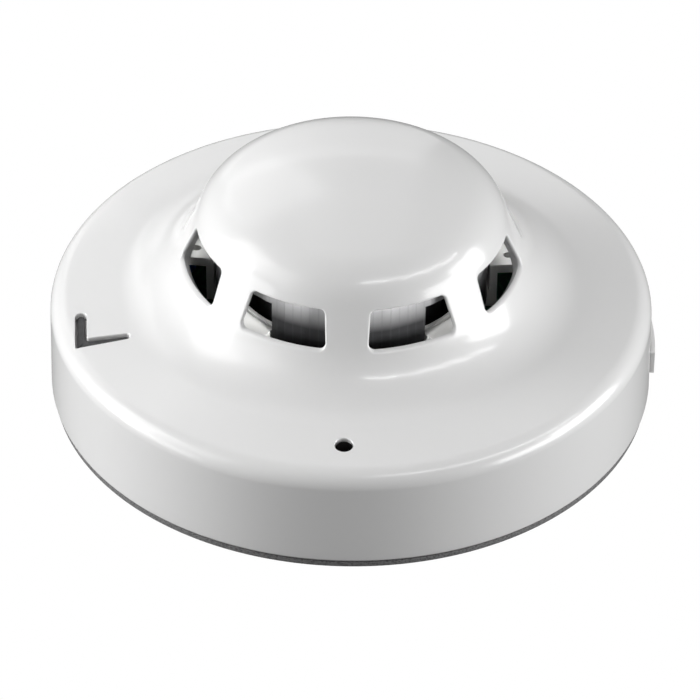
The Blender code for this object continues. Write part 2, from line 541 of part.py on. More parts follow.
def coil(name, radius, wire, z0, z1, turns, mat):
    """A round-wire compression spring along Z, its ends brought to the given heights."""
    per = 10
    n = int(turns * per)
    curve = bpy.data.curves.new(name, "CURVE")
    curve.dimensions = "3D"
    curve.bevel_depth = wire * MM
    curve.bevel_resolution = 2
    curve.use_fill_caps = True
    line = curve.splines.new("POLY")
    line.points.add(n)
    for i in range(n + 1):
        a = 2 * math.pi * i / per
        z = z0 + wire + (z1 - z0 - 2 * wire) * i / n
        line.points[i].co = (radius * math.cos(a) * MM, radius * math.sin(a) * MM, z * MM, 1.0)
    obj = part(name, curve, mat)
    return obj


def curve_to_mesh(obj):
    """Make a curve piece a closed mesh."""
    bpy.context.view_layer.update()
    evaluated = obj.evaluated_get(bpy.context.evaluated_depsgraph_get())
    mesh = bpy.data.meshes.new_from_object(evaluated)
    bm = bmesh.new()
    bm.from_mesh(mesh)
    bmesh.ops.remove_doubles(bm, verts=bm.verts[:], dist=0.000005)
    bmesh.ops.recalc_face_normals(bm, faces=bm.faces[:])
    bm.to_mesh(mesh)
    bm.free()
    name, mat, frame = obj.name, obj.data.materials[0], obj.parent
    loc, rot = obj.location.copy(), obj.rotation_euler.copy()
    bpy.data.objects.remove(obj, do_unlink=True)
    mesh.name = name
    new = part(name, mesh, mat, frame)
    new.location, new.rotation_euler = loc, rot
    return new


curve_to_mesh(coil("plunger_spring", 1.5, 0.25, 28.7, 31.5, 3.0, SPRING))

# ================================================================ latch tab and its spring
tab = part("release_tab", sector_mesh("release_tab", rect(46.7, TAB_FACE_R, *TAB_Z), TAB_HALF, 3), WHITE, az=TAB_AZ)
boolean(tab, tool("tab_flange", sector_mesh("tab_flange", rect(46.1, 47.3, TAB_Z[0], TAB_Z[1] - 0.1), 7.2, 4), az=TAB_AZ), "UNION")
boolean(tab, tool("tab_stem", box_mesh("tab_stem", (43.2, -2.5, TAB_Z[0] + 0.1), (46.6, 2.5, TAB_Z[1] - 0.2)), az=TAB_AZ), "UNION")
spring = coil("release_spring", 1.5, 0.28, 38.5, 42.9, 4.0, SPRING)
spring.rotation_euler = (Matrix.Rotation(math.radians(TAB_AZ - 90.0), 3, "Z") @ Matrix.Rotation(math.radians(90.0), 3, "Y")).to_euler()
spring.location = Vector((0, 0, 6.2)) * MM
curve_to_mesh(spring)
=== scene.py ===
import math

import bmesh
import bpy
import numpy as np
from mathutils import Matrix, Vector
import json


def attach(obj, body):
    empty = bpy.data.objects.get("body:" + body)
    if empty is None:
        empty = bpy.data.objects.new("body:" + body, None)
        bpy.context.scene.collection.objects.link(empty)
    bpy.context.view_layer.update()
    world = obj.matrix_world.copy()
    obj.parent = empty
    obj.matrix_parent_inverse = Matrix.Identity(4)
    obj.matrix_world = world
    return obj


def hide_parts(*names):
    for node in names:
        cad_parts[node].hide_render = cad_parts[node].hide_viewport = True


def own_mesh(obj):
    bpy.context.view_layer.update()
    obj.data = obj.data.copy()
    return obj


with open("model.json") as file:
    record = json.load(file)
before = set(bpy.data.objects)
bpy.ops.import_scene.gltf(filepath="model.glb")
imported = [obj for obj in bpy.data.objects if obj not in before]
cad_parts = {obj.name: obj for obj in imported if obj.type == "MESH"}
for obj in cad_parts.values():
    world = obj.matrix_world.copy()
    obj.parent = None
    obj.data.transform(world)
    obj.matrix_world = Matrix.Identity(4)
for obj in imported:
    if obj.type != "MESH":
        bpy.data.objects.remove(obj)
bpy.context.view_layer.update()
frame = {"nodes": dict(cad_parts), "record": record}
NODES = frame["nodes"]
MM = 0.001
scene = bpy.context.scene

# ---------------------------------------------------------------------------------------------------- dimensions
BODY_R = 50.0
SKIRT_FOOT_Z = 1.2
SHOULDER_R = 3.2
SHOULDER_C = (46.55, 15.3)
SLOPE = 7.0
FILLET_X = 38.2
FILLET_R = 13.0
CAGE_WALL = 66.6
CAGE_TOP_Z = 33.4
BROW_R = 9.8
CROWN_END = 19.0
WALL = 2.0
WINDOW_Z = (26.4, 32.4)
WINDOW_HALF = (7.45, 6.2)
WINDOW_CORNER = 0.9
LAMP_R = 42.5
MARK_HEEL = (-44.25, -18.35)
MARK_CROOK = (-42.55, -16.00)
MARK_END_A = (-43.95, -10.35, 0.92)
MARK_END_B = (-36.15, -16.13, 0.70)
TAB_AZ = 92.0
TAB_HALF = 5.2
TAB_Z = (4.1, 8.3)
TAB_FACE_R = 50.7
PILLAR_AZ = (60.0, 180.0, 300.0)
PILLAR_R = 39.0


# ---------------------------------------------------------------------------------------------------- materials
class Mat:
    """A small builder for procedural node materials."""

    def __init__(self, name):
        self.m = bpy.data.materials.new(name)
        self.m.use_nodes = True
        self.t = self.m.node_tree
        self.p = self.t.nodes["Principled BSDF"]
        self.out = self.t.nodes["Material Output"]
        self.coord = self.t.nodes.new("ShaderNodeTexCoord").outputs["Object"]

    def node(self, kind, **values):
        n = self.t.nodes.new(kind)
        for k, v in values.items():
            if hasattr(n, k) and k not in n.inputs:
                setattr(n, k, v)
            else:
                n.inputs[k].default_value = v
        return n

    def link(self, a, b):
        self.t.links.new(a, b)

    def noise(self, scale, detail=3.0, rough=0.55, vector=None):
        n = self.node("ShaderNodeTexNoise", Scale=scale, Detail=detail, Roughness=rough)
        self.link(vector or self.coord, n.inputs["Vector"])
        return n.outputs["Fac"]

    def ramp(self, value, stops):
        n = self.t.nodes.new("ShaderNodeValToRGB")
        els = n.color_ramp.elements
        while len(els) < len(stops):
            els.new(0.5)
        for e, (pos, col) in zip(els, stops):
            e.position = pos
            e.color = (*col, 1.0) if len(col) == 3 else col
        self.link(value, n.inputs["Fac"])
        return n.outputs["Color"]

    def remap(self, value, a, b, lo, hi):
        n = self.node("ShaderNodeMapRange")
        n.inputs["From Min"].default_value = a
        n.inputs["From Max"].default_value = b
        n.inputs["To Min"].default_value = lo
        n.inputs["To Max"].default_value = hi
        self.link(value, n.inputs["Value"])
        return n.outputs["Result"]

    def math(self, op, a, b=None):
        n = self.t.nodes.new("ShaderNodeMath")
        n.operation = op
        for i, v in enumerate((a, b)):
            if v is None:
                continue
            if isinstance(v, (int, float)):
                n.inputs[i].default_value = v
            else:
                self.link(v, n.inputs[i])
        return n.outputs[0]

    def mix(self, fac, a, b):
        n = self.t.nodes.new("ShaderNodeMix")
        n.data_type = "RGBA"
        for sock, v in ((n.inputs[0], fac), (n.inputs[6], a), (n.inputs[7], b)):
            if isinstance(v, (int, float)):
                sock.default_value = v
            elif isinstance(v, (tuple, list)):
                sock.default_value = (*v, 1.0)
            else:
                self.link(v, sock)
        return n.outputs[2]

    def bump(self, height, strength, distance, normal=None):
        n = self.node("ShaderNodeBump")
        n.inputs["Strength"].default_value = strength
        n.inputs["Distance"].default_value = distance
        self.link(height, n.inputs["Height"])
        if normal is not None:
            self.link(normal, n.inputs["Normal"])
        return n.outputs["Normal"]

    def done(self, color=None, rough=None, normal=None, metal=None, **fixed):
        p = self.p.inputs
        for sock, v in ((p["Base Color"], color), (p["Roughness"], rough), (p["Normal"], normal), (p["Metallic"], metal)):
            if v is None:
                continue
            if isinstance(v, (int, float)):
                sock.default_value = v
            elif isinstance(v, (tuple, list)):
                sock.default_value = (*v, 1.0)
            else:
                self.link(v, sock)
        for k, v in fixed.items():
            p[k.replace("_", " ")].default_value = v
        return self.m


def plastic(name, base, rough, spread=0.02, grain=0.0, grain_scale=9000.0, peel=0.05, **fixed):
    """Moulded plastic: faint cloudiness in colour, uneven gloss, a shallow flow ripple and, if asked, a spark-eroded grain."""
    m = Mat(name)
    cloud = m.noise(38.0, 4.0)
    dark = tuple(c * (1 - spread) for c in base)
    light = tuple(min(1.0, c * (1 + spread * 0.6)) for c in base)
    colour = m.ramp(cloud, [(0.30, dark), (0.72, light)])
    gloss = m.remap(m.noise(110.0, 4.0), 0.3, 0.7, rough * 0.86, rough * 1.16)
    edge = m.t.nodes.new("ShaderNodeBevel")
    edge.samples = 4
    edge.inputs["Radius"].default_value = 0.00018
    normal = m.bump(m.noise(420.0, 2.0), peel, 0.00004, edge.outputs["Normal"])
    if grain:
        normal = m.bump(m.noise(grain_scale, 2.0), grain, 0.00003, normal)
    return m.done(colour, gloss, normal, 0.0, **fixed)


def metal(name, base, rough, spread=0.12, scratch=0.1, brushed=None, tarnish=None):
    """Metal: uneven roughness, fine scratches or a turned grain, and an optional tarnish colour."""
    m = Mat(name)
    cloud = m.noise(160.0, 5.0)
    colour = m.ramp(cloud, [(0.30, tuple(c * (1 - spread) for c in base)), (0.70, base)])
    if tarnish:
        colour = m.mix(m.remap(m.noise(70.0, 6.0, 0.7), 0.52, 0.72, 0.0, 0.75), colour, tarnish)
    gloss = m.remap(m.noise(600.0, 4.0), 0.3, 0.7, rough * 0.75, rough * 1.35)
    stretch = m.node("ShaderNodeMapping")
    stretch.inputs["Scale"].default_value = brushed or (1.0, 1.0, 12.0)
    m.link(m.coord, stretch.inputs["Vector"])
    edge = m.t.nodes.new("ShaderNodeBevel")
    edge.samples = 4
    edge.inputs["Radius"].default_value = 0.00012
    normal = m.bump(m.noise(2500.0, 3.0, 0.6, stretch.outputs["Vector"]), scratch, 0.00002, edge.outputs["Normal"])
    return m.done(colour, gloss, normal, 1.0)


def white_cover():
    """Gloss-satin white moulding. Slight yellowing cloud, uneven polish, and painted shade that greys the hollows in
    fine specks.
    """
    m = Mat("cover_white")
    cloud = m.noise(30.0, 1.0)
    colour = m.ramp(cloud, [(0.20, (0.812, 0.812, 0.810)), (0.80, (0.832, 0.832, 0.830))])
    # painted shade: an ambient-occlusion mask greys the white in hollows and crevices, broken into specks by fine noise
    ao = m.node("ShaderNodeAmbientOcclusion")
    ao.inputs["Distance"].default_value = 0.0022
    ao.samples = 4
    painted_hollow_shade = m.remap(ao.outputs["AO"], 0.35, 0.95, 0.32, 0.0)
    painted_hollow_shade = m.math("MULTIPLY", painted_hollow_shade, m.remap(m.noise(900.0, 4.0), 0.3, 0.7, 0.4, 1.0))
    colour = m.mix(painted_hollow_shade, colour, (0.46, 0.45, 0.44))
    gloss = m.remap(m.noise(60.0, 1.0), 0.15, 0.85, 0.235, 0.265)
    ripple = m.bump(m.noise(240.0, 1.0), 0.03, 0.00005)
    fine = m.bump(m.noise(4200.0, 2.0), 0.05, 0.00001, ripple)
    return m.done(colour, gloss, fine, 0.0, IOR=1.49, Subsurface_Weight=0.0, Coat_Weight=0.45, Coat_Roughness=0.10)


M = {
    "cover_white": white_cover(),
    "base_white": plastic("base_white", (0.74, 0.74, 0.72), 0.48, 0.03, grain=0.25, grain_scale=5200.0),
    "chamber_base_white": plastic("chamber_base_white", (0.84, 0.84, 0.82), 0.36, 0.02, grain=0.08),
    "chassis_black": plastic("chassis_black", (0.022, 0.022, 0.024), 0.46, 0.25, grain=0.35, grain_scale=6500.0),
    "lamp_smoked": plastic("lamp_smoked", (0.0012, 0.0008, 0.0008), 0.45, 0.2, IOR=1.2, Specular_IOR_Level=0.15),
    "lamp_red": plastic("lamp_red", (0.42, 0.02, 0.02), 0.25, 0.1),
    "component_black": plastic("component_black", (0.016, 0.016, 0.018), 0.42, 0.3, grain=0.3, grain_scale=12000.0),
    "varistor_blue": plastic("varistor_blue", (0.02, 0.09, 0.33), 0.34, 0.12, peel=0.2),
    "screw_steel": metal("screw_steel", (0.66, 0.66, 0.67), 0.28, tarnish=(0.45, 0.44, 0.40)),
    "spring_steel": metal("spring_steel", (0.60, 0.60, 0.61), 0.22),
    "contact_brass": metal("contact_brass", (0.74, 0.55, 0.26), 0.27, tarnish=(0.42, 0.29, 0.13)),
    "diaphragm_bronze": metal("diaphragm_bronze", (0.70, 0.47, 0.30), 0.25, tarnish=(0.45, 0.27, 0.15)),
    "fusible_alloy": metal("fusible_alloy", (0.60, 0.60, 0.57), 0.42, spread=0.25),
}


def gasket_foam():
    m = Mat("gasket_foam")
    cells = m.node("ShaderNodeTexVoronoi", Scale=2600.0)
    m.link(m.coord, cells.inputs["Vector"])
    d = cells.outputs["Distance"]
    # painted shade: the foam ring is a real piece, but its dark grey stands in for the shadowed gap under the skirt's
    # rim
    colour = m.ramp(d, [(0.05, (0.085, 0.085, 0.086)), (0.6, (0.19, 0.19, 0.191))])
    normal = m.bump(d, 0.6, 0.00012)
    return m.done(colour, 0.92, normal, 0.0)


def chamber_dark():
    """Dark-anodised spun aluminium: fine turning lines round the axis and a soft uneven sheen. Its colour carries
    painted shade, near black low down, grading to painted light, a paler grey, towards the top.
    """
    m = Mat("chamber_dark")
    sep = m.t.nodes.new("ShaderNodeSeparateXYZ")
    m.link(m.coord, sep.inputs[0])
    cloud = m.noise(120.0, 5.0)
    # painted light and shade: this grey is the painted-light tone of the top; the colour falls to near black towards
    # the bottom between 25.8 and 31.8 mm height
    pale = m.ramp(cloud, [(0.30, (0.32, 0.32, 0.323)), (0.70, (0.42, 0.42, 0.423))])
    height = m.math("ADD", sep.outputs["Z"], m.math("MULTIPLY", m.math("SUBTRACT", m.noise(70.0, 2.0), 0.5), 0.0012))
    colour = m.mix(m.remap(height, 0.0258, 0.0318, 0.0, 1.0), (0.022, 0.022, 0.023), pale)
    angle = m.math("ARCTAN2", sep.outputs["X"], sep.outputs["Y"])
    ribs = m.math("SINE", m.math("MULTIPLY", angle, 96.0))
    lines = m.noise(5200.0, 2.0, 0.5, None)
    stretch = m.node("ShaderNodeMapping")
    stretch.inputs["Scale"].default_value = (0.02, 0.02, 9.0)
    m.link(m.coord, stretch.inputs["Vector"])
    turned = m.noise(900.0, 3.0, 0.6, stretch.outputs["Vector"])
    colour = m.mix(m.remap(ribs, 0.75, 1.0, 0.0, 0.18), colour, (0.06, 0.06, 0.062))
    gloss = m.remap(turned, 0.3, 0.7, 0.30, 0.42)
    normal = m.bump(turned, 0.12, 0.00003)
    normal = m.bump(lines, 0.08, 0.00001, normal)
    return m.done(colour, gloss, normal, 0.30)


def board_green():
    """Solder mask over a glass weave, with a faint net of tracks and tinned pads."""
    m = Mat("board_green")
    sep = m.t.nodes.new("ShaderNodeSeparateXYZ")
    m.link(m.coord, sep.inputs[0])
    radius = m.math("SQRT", m.math("ADD", m.math("MULTIPLY", sep.outputs["X"], sep.outputs["X"]), m.math("MULTIPLY", sep.outputs["Y"], sep.outputs["Y"])))
    rings = m.math("SINE", m.math("MULTIPLY", radius, 3900.0))
    spokes = m.math("SINE", m.math("MULTIPLY", m.math("ARCTAN2", sep.outputs["Y"], sep.outputs["X"]), 46.0))
    patch = m.remap(m.noise(70.0, 1.0), 0.47, 0.53, 0.0, 1.0)
    along = m.math("MULTIPLY", m.remap(rings, 0.55, 0.75, 0.0, 1.0), patch)
    across = m.math("MULTIPLY", m.remap(spokes, 0.72, 0.88, 0.0, 1.0), m.math("SUBTRACT", 1.0, patch))
    copper = m.math("MAXIMUM", along, across)
    weave = m.node("ShaderNodeTexWave", Scale=420.0, Distortion=1.5)
    m.link(m.coord, weave.inputs["Vector"])
    track = m.mix(copper, (0.008, 0.046, 0.025), (0.020, 0.100, 0.048))
    colour = m.mix(m.remap(weave.outputs["Fac"], 0.3, 0.8, 0.0, 0.10), track, (0.03, 0.09, 0.05))
    dots = m.node("ShaderNodeTexVoronoi", Scale=330.0)
    m.link(m.coord, dots.inputs["Vector"])
    pad = m.remap(dots.outputs["Distance"], 0.12, 0.15, 1.0, 0.0)
    colour = m.mix(pad, colour, (0.55, 0.55, 0.52))
    normal = m.bump(copper, 0.3, 0.00004)
    return m.done(colour, 0.33, normal, 0.0)


def banded(name, body, bands, axis_origin, axis_dir, length, rough=0.4):
    """A small axial component: lacquer with painted rings along its own axis."""
    m = Mat(name)
    dot = m.node("ShaderNodeVectorMath", operation="DOT_PRODUCT")
    m.link(m.coord, dot.inputs[0])
    dot.inputs[1].default_value = tuple(axis_dir)
    along = m.math("SUBTRACT", dot.outputs["Value"], Vector(axis_origin).dot(Vector(axis_dir)))
    t = m.math("DIVIDE", along, length)
    stops = [(0.0, body)]
    for pos, width, col in bands:
        stops += [(pos, col), (pos + width, body)]
    n = m.t.nodes.new("ShaderNodeValToRGB")
    n.color_ramp.interpolation = "CONSTANT"
    els = n.color_ramp.elements
    while len(els) < len(stops):
        els.new(0.5)
    for e, (pos, col) in zip(els, stops):
        e.position = pos
        e.color = (*col, 1.0)
    m.link(t, n.inputs["Fac"])
    shade = m.mix(m.remap(m.noise(700.0, 3.0), 0.3, 0.7, 0.0, 0.2), n.outputs["Color"], tuple(c * 0.6 for c in body))
    normal = m.bump(m.noise(1200.0, 2.0), 0.15, 0.00003)
    return m.done(shade, rough, normal, 0.0)


M["gasket_foam"] = gasket_foam()
M["chamber_dark"] = chamber_dark()
M["board_green"] = board_green()


# ---------------------------------------------------------------------------------------------------- mesh helpers
def rot_az(az):
    return Matrix.Rotation(math.radians(az - 90.0), 4, "Z")


def new_piece(name, verts, faces, mat, body, slot, smooth=True, angle=None):
    mesh = bpy.data.meshes.new(name)
    mesh.from_pydata([tuple(v) for v in verts], [], faces)
    mesh.update()
    obj = bpy.data.objects.new(name, mesh)
    scene.collection.objects.link(obj)
    mesh.materials.append(mat)
    if smooth:
        mesh.shade_smooth()
    if angle:
        mesh.set_sharp_from_angle(angle=math.radians(angle))
    if body:
        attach(obj, body)
    return obj


def from_bm(name, bm, mat, body, angle=35.0):
    mesh = bpy.data.meshes.new(name)
    bm.to_mesh(mesh)
    bm.free()
    obj = bpy.data.objects.new(name, mesh)
    scene.collection.objects.link(obj)
    mesh.materials.append(mat)
    mesh.shade_smooth()
    if angle:
        mesh.set_sharp_from_angle(angle=math.radians(angle))
    if body:
        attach(obj, body)
    return obj


def apply_modifiers(obj):
    """Replace the mesh by its evaluated self, so no modifier or helper stays."""
    bpy.context.view_layer.update()
    dg = bpy.context.evaluated_depsgraph_get()
    mesh = bpy.data.meshes.new_from_object(obj.evaluated_get(dg))
    obj.modifiers.clear()
    old = obj.data
    obj.data = mesh
    bpy.data.meshes.remove(old)
    return obj


def ring_solid(name, profile, steps, mat, body, closed=True, angle=35.0, matrix=None):
    """Turn an (r, z) profile in mm about Z: a closed loop gives a ring, an open one starts and ends on the axis."""
    bm = bmesh.new()
    rows = []
    n = len(profile)
    for r, z in profile:
        if r <= 1e-9:
            rows.append([bm.verts.new((0, 0, z * MM))] * steps)
        else:
            rows.append([bm.verts.new((r * math.cos(2 * math.pi * k / steps) * MM, r * math.sin(2 * math.pi * k / steps) * MM, z * MM))
                         for k in range(steps)])
    count = n if closed else n - 1
    for i in range(count):
        a, b = rows[i], rows[(i + 1) % n]
        for k in range(steps):
            q = [a[k], b[k], b[(k + 1) % steps], a[(k + 1) % steps]]
            out = []
            for v in q:
                if v not in out:
                    out.append(v)
            if len(out) > 2:
                bm.faces.new(out)
    bmesh.ops.recalc_face_normals(bm, faces=bm.faces[:])
    if matrix is not None:
        bm.transform(matrix)
    return from_bm(name, bm, mat, body, angle)


def arc(centre, radius, a0, a1, count):
    return [(centre[0] + radius * math.sin(math.radians(a0 + (a1 - a0) * i / count)),
             centre[1] + radius * math.cos(math.radians(a0 + (a1 - a0) * i / count))) for i in range(count + 1)]


def cover_profile(t, n):
    """The cover's skin, t inside its outer face, from the axis down to the skirt's head."""
    slope, wall, end = math.radians(SLOPE), math.radians(CAGE_WALL), math.radians(CROWN_END)
    sx = SHOULDER_C[0] + SHOULDER_R * math.sin(slope)
    sz = SHOULDER_C[1] + SHOULDER_R * math.cos(slope)
    fz = sz + (sx - FILLET_X) * math.tan(slope)
    fillet = (FILLET_X + FILLET_R * math.sin(slope), fz + FILLET_R * math.cos(slope))
    foot = (fillet[0] - FILLET_R * math.sin(wall), fillet[1] - FILLET_R * math.cos(wall))
    top_r = foot[0] - (CAGE_TOP_Z - foot[1]) / math.tan(wall)
    brow = (top_r - BROW_R * math.sin(wall), CAGE_TOP_Z - BROW_R * math.cos(wall))
    edge = (brow[0] + BROW_R * math.sin(end), brow[1] + BROW_R * math.cos(end))
    crown_r = edge[0] / math.sin(end)
    crown = (0.0, edge[1] - crown_r * math.cos(end))
    points = arc(crown, crown_r - t, 0.0, CROWN_END, n[0])[:-1]
    points += arc(brow, BROW_R - t, CROWN_END, CAGE_WALL, n[1])
    points += arc(fillet, -(FILLET_R + t), CAGE_WALL, SLOPE, n[2])
    shoulder = arc(SHOULDER_C, SHOULDER_R - t, SLOPE, 90.0, n[3])
    if n[3] > 10:
        (xa, za), (xb, zb) = points[-1], shoulder[0]
        points += [(xa + (xb - xa) * k / 22, za + (zb - za) * k / 22) for k in range(1, 22)]
    return points + shoulder


def lamp_surface(r):
    """Height of the annulus at radius r."""
    slope = math.radians(SLOPE)
    sx = SHOULDER_C[0] + SHOULDER_R * math.sin(slope)
    sz = SHOULDER_C[1] + SHOULDER_R * math.cos(slope)
    return sz + (sx - r) * math.tan(slope)


# ---------------------------------------------------------------------------------------------------- the cover
PER = 30                      # points across one of the eight sectors
SECTORS = 8
EDGE = 0.42                   # rounding of the window edges
BAND = (24.3, 34.3)           # heights between which each sector holds its window
FINE = (22, 26, 34, 22)


def radius_at(t):
    """Radius of the skin t inside the outer face, as a function of height, on the cage's side."""
    pts = [p for p in cover_profile(t, (60, 90, 120, 40))]
    pts = [p for p in pts if p[1] > 19.9 and p[0] > 14.0]
    z = np.array([p[1] for p in pts])[::-1]
    r = np.array([p[0] for p in pts])[::-1]
    keep = np.concatenate([[True], np.diff(z) > 1e-6])
    return z[keep], r[keep]


def window_outline(grow):
    """The rounded window opening, grown by grow, as (y, z) points: foot, one side, head, other side."""
    (z0, z1), (h0, h1) = WINDOW_Z, WINDOW_HALF
    lean = (h0 - h1) / (z1 - z0)
    length = math.hypot(1.0, lean)
    corner = WINDOW_CORNER + grow
    za, zb = z0 - grow, z1 + grow

    def half(z):
        return h0 - (z - z0) * lean + grow * length

    def corner_arc(z_edge, up):
        cz = z_edge + corner * up
        cy = half(cz) - corner * length
        tilt = math.degrees(math.atan(lean))
        if up > 0:
            a0, a1 = -90.0, tilt
        else:
            a0, a1 = tilt, 90.0
        return [(cy + corner * math.cos(math.radians(a0 + (a1 - a0) * i / 8)), cz + corner * math.sin(math.radians(a0 + (a1 - a0) * i / 8)))
                for i in range(9)]

    low, high = corner_arc(za, 1), corner_arc(zb, -1)

    def run(a, b, count):
        return [(a[0] + (b[0] - a[0]) * i / count, a[1] + (b[1] - a[1]) * i / count) for i in range(1, count)]

    points = []
    half_low, half_high = low[4:], high[:5]
    # foot, from the middle of the left corner to the middle of the right corner: PER steps
    left_low = [(-y, z) for y, z in low[::-1]]
    foot = left_low[4:] + run(left_low[-1], low[0], PER - 8) + low[:5]
    side = half_low + run(low[-1], high[0], SIDE - 8) + half_high
    head = high[4:] + run(high[-1], (-high[-1][0], high[-1][1]), PER - 8) + [(-y, z) for y, z in high[::-1]][:5]
    other = [(-y, z) for y, z in side[::-1]]
    for part_ in (foot, side, head, other):
        points += part_[:-1]
    return points


SIDE = 18


def band_boundary():
    """Points (theta, z) of one sector's border, matched one to one with the window outline."""
    h = math.radians(180.0 / SECTORS)
    out = []
    for i in range(PER):
        out.append((-h + 2 * h * i / PER, BAND[0]))
    for i in range(SIDE):
        out.append((h, BAND[0] + (BAND[1] - BAND[0]) * i / SIDE))
    for i in range(PER):
        out.append((h - 2 * h * i / PER, BAND[1]))
    for i in range(SIDE):
        out.append((-h, BAND[1] - (BAND[1] - BAND[0]) * i / SIDE))
    return out


def build_cover():
    tables = {}

    def r_of(z, t):
        key = round(t, 4)
        if key not in tables:
            tables[key] = radius_at(t)
        zz, rr = tables[key]
        return float(np.interp(z, zz, rr))

    def on_prism(y, z, t):
        r = r_of(z, t)
        return (math.sqrt(max(r * r - y * y, 0.0)), y, z)

    def on_skin(theta, z, t):
        r = r_of(z, t)
        return (r * math.cos(theta), r * math.sin(theta), z)

    border = band_boundary()
    loops = []
    rings_out = 7
    edge_line = window_outline(EDGE)
    base_polar = [(math.atan2(p[1], p[0]), p[2]) for p in (on_prism(y, z, 0.0) for y, z in edge_line)]
    for k in range(rings_out):
        f = k / rings_out
        f = 1 - (1 - f) ** 1.6
        loops.append([on_skin(b[0] + (c[0] - b[0]) * f, b[1] + (c[1] - b[1]) * f, 0.0) for b, c in zip(border, base_polar)])
    for k in range(5):
        phi = math.radians(90.0 * k / 4)
        d, t = EDGE * (1 - math.sin(phi)), EDGE * (1 - math.cos(phi))
        loops.append([on_prism(y, z, t) for y, z in window_outline(d)])
    inner_edge = 1.38
    for d, t in ((-0.0, 0.60), (0.05, 0.66), (0.70, 1.33), (1.30, 1.95), (inner_edge, WALL)):
        loops.append([on_prism(y, z, t) for y, z in window_outline(d)])
    inner_line = window_outline(inner_edge)
    inner_polar = [(math.atan2(p[1], p[0]), p[2]) for p in (on_prism(y, z, WALL) for y, z in inner_line)]
    for k in range(1, 5):
        f = (k / 4) ** 1.4
        loops.append([on_skin(c[0] + (b[0] - c[0]) * f, c[1] + (b[1] - c[1]) * f, WALL) for b, c in zip(border, inner_polar)])

    verts, faces = [], []
    for s in range(SECTORS):
        turn_ = rot_az(22.5 + 45.0 * s)
        start = len(verts)
        n = len(border)
        for loop in loops:
            verts += [turn_ @ (Vector(p) * MM) for p in loop]
        for k in range(len(loops) - 1):
            for j in range(n):
                a, b = start + k * n + j, start + k * n + (j + 1) % n
                faces.append((a, b, b + n, a + n))

    total = PER * SECTORS

    def turned(points, close_axis):
        start = len(verts)
        rows = []
        for r, z in points:
            if r < 1e-6:
                verts.append(Vector((0, 0, z * MM)))
                rows.append([len(verts) - 1] * total)
            else:
                row = []
                for k in range(total):
                    a = math.radians(-90.0) + 2 * math.pi * k / total
                    verts.append(Vector((r * math.cos(a), r * math.sin(a), z)) * MM)
                    row.append(len(verts) - 1)
                rows.append(row)
        for i in range(len(rows) - 1):
            for k in range(total):
                q = [rows[i][k], rows[i + 1][k], rows[i + 1][(k + 1) % total], rows[i][(k + 1) % total]]
                out = []
                for v in q:
                    if v not in out:
                        out.append(v)
                faces.append(tuple(out))

    outer = cover_profile(0.0, FINE)
    top = [p for p in outer if p[1] > BAND[1] + 0.12 and p[0] < 30] + [(r_of(BAND[1], 0.0), BAND[1])]
    low = [(r_of(BAND[0], 0.0), BAND[0])] + [p for p in outer if p[1] < BAND[0] - 0.12]
    foot = [(BODY_R, SKIRT_FOOT_Z + 0.5), (BODY_R - 0.06, SKIRT_FOOT_Z + 0.28), (BODY_R - 0.2, SKIRT_FOOT_Z + 0.09), (BODY_R - 0.42, SKIRT_FOOT_Z),
            (BODY_R - WALL + 0.15, SKIRT_FOOT_Z), (BODY_R - WALL, SKIRT_FOOT_Z + 0.15)]
    skirt = [(BODY_R - 0.25 * (k / 6), SKIRT_FOOT_Z + 0.5 + (SHOULDER_C[1] - SKIRT_FOOT_Z - 0.5) * (k / 6)) for k in (5, 4, 3, 2, 1)]
    inner = cover_profile(WALL, (10, 12, 18, 6))
    inner_low = [p for p in inner if p[1] < BAND[0] - 0.2][::-1]
    inner_top = [p for p in inner if p[1] > BAND[1] + 0.2 and p[0] < 30][::-1]
    turned(top, True)
    turned(low + skirt + foot + inner_low + [(r_of(BAND[0], WALL), BAND[0])], False)
    turned([(r_of(BAND[1], WALL), BAND[1])] + inner_top, True)

    bm = bmesh.new()
    vs = [bm.verts.new(v) for v in verts]
    for f in faces:
        try:
            bm.faces.new([vs[i] for i in f])
        except ValueError:
            pass
    bmesh.ops.remove_doubles(bm, verts=bm.verts[:], dist=0.00002)
    bmesh.ops.recalc_face_normals(bm, faces=bm.faces[:])
    open_edges = sum(1 for e in bm.edges if len(e.link_faces) != 2)
    print("cover open edges:", open_edges, "faces:", len(bm.faces))
    obj = from_bm("cover_shell", bm, M["cover_white"], None, angle=None)
    return obj


def helper(name, bm):
    mesh = bpy.data.meshes.new(name)
    bmesh.ops.recalc_face_normals(bm, faces=bm.faces[:])
    bm.to_mesh(mesh)
    bm.free()
    obj = bpy.data.objects.new(name, mesh)
    scene.collection.objects.link(obj)
    return obj


def loft(loops):
    """A closed solid through like loops of points, capped at both ends."""
    bm = bmesh.new()
    rows = [[bm.verts.new(Vector(p) * MM) for p in loop] for loop in loops]
    n = len(rows[0])
    for a, b in zip(rows, rows[1:]):
        for j in range(n):
            bm.faces.new((a[j], a[(j + 1) % n], b[(j + 1) % n], b[j]))
    bm.faces.new(rows[0])
    bm.faces.new(rows[-1][::-1])
    return bm


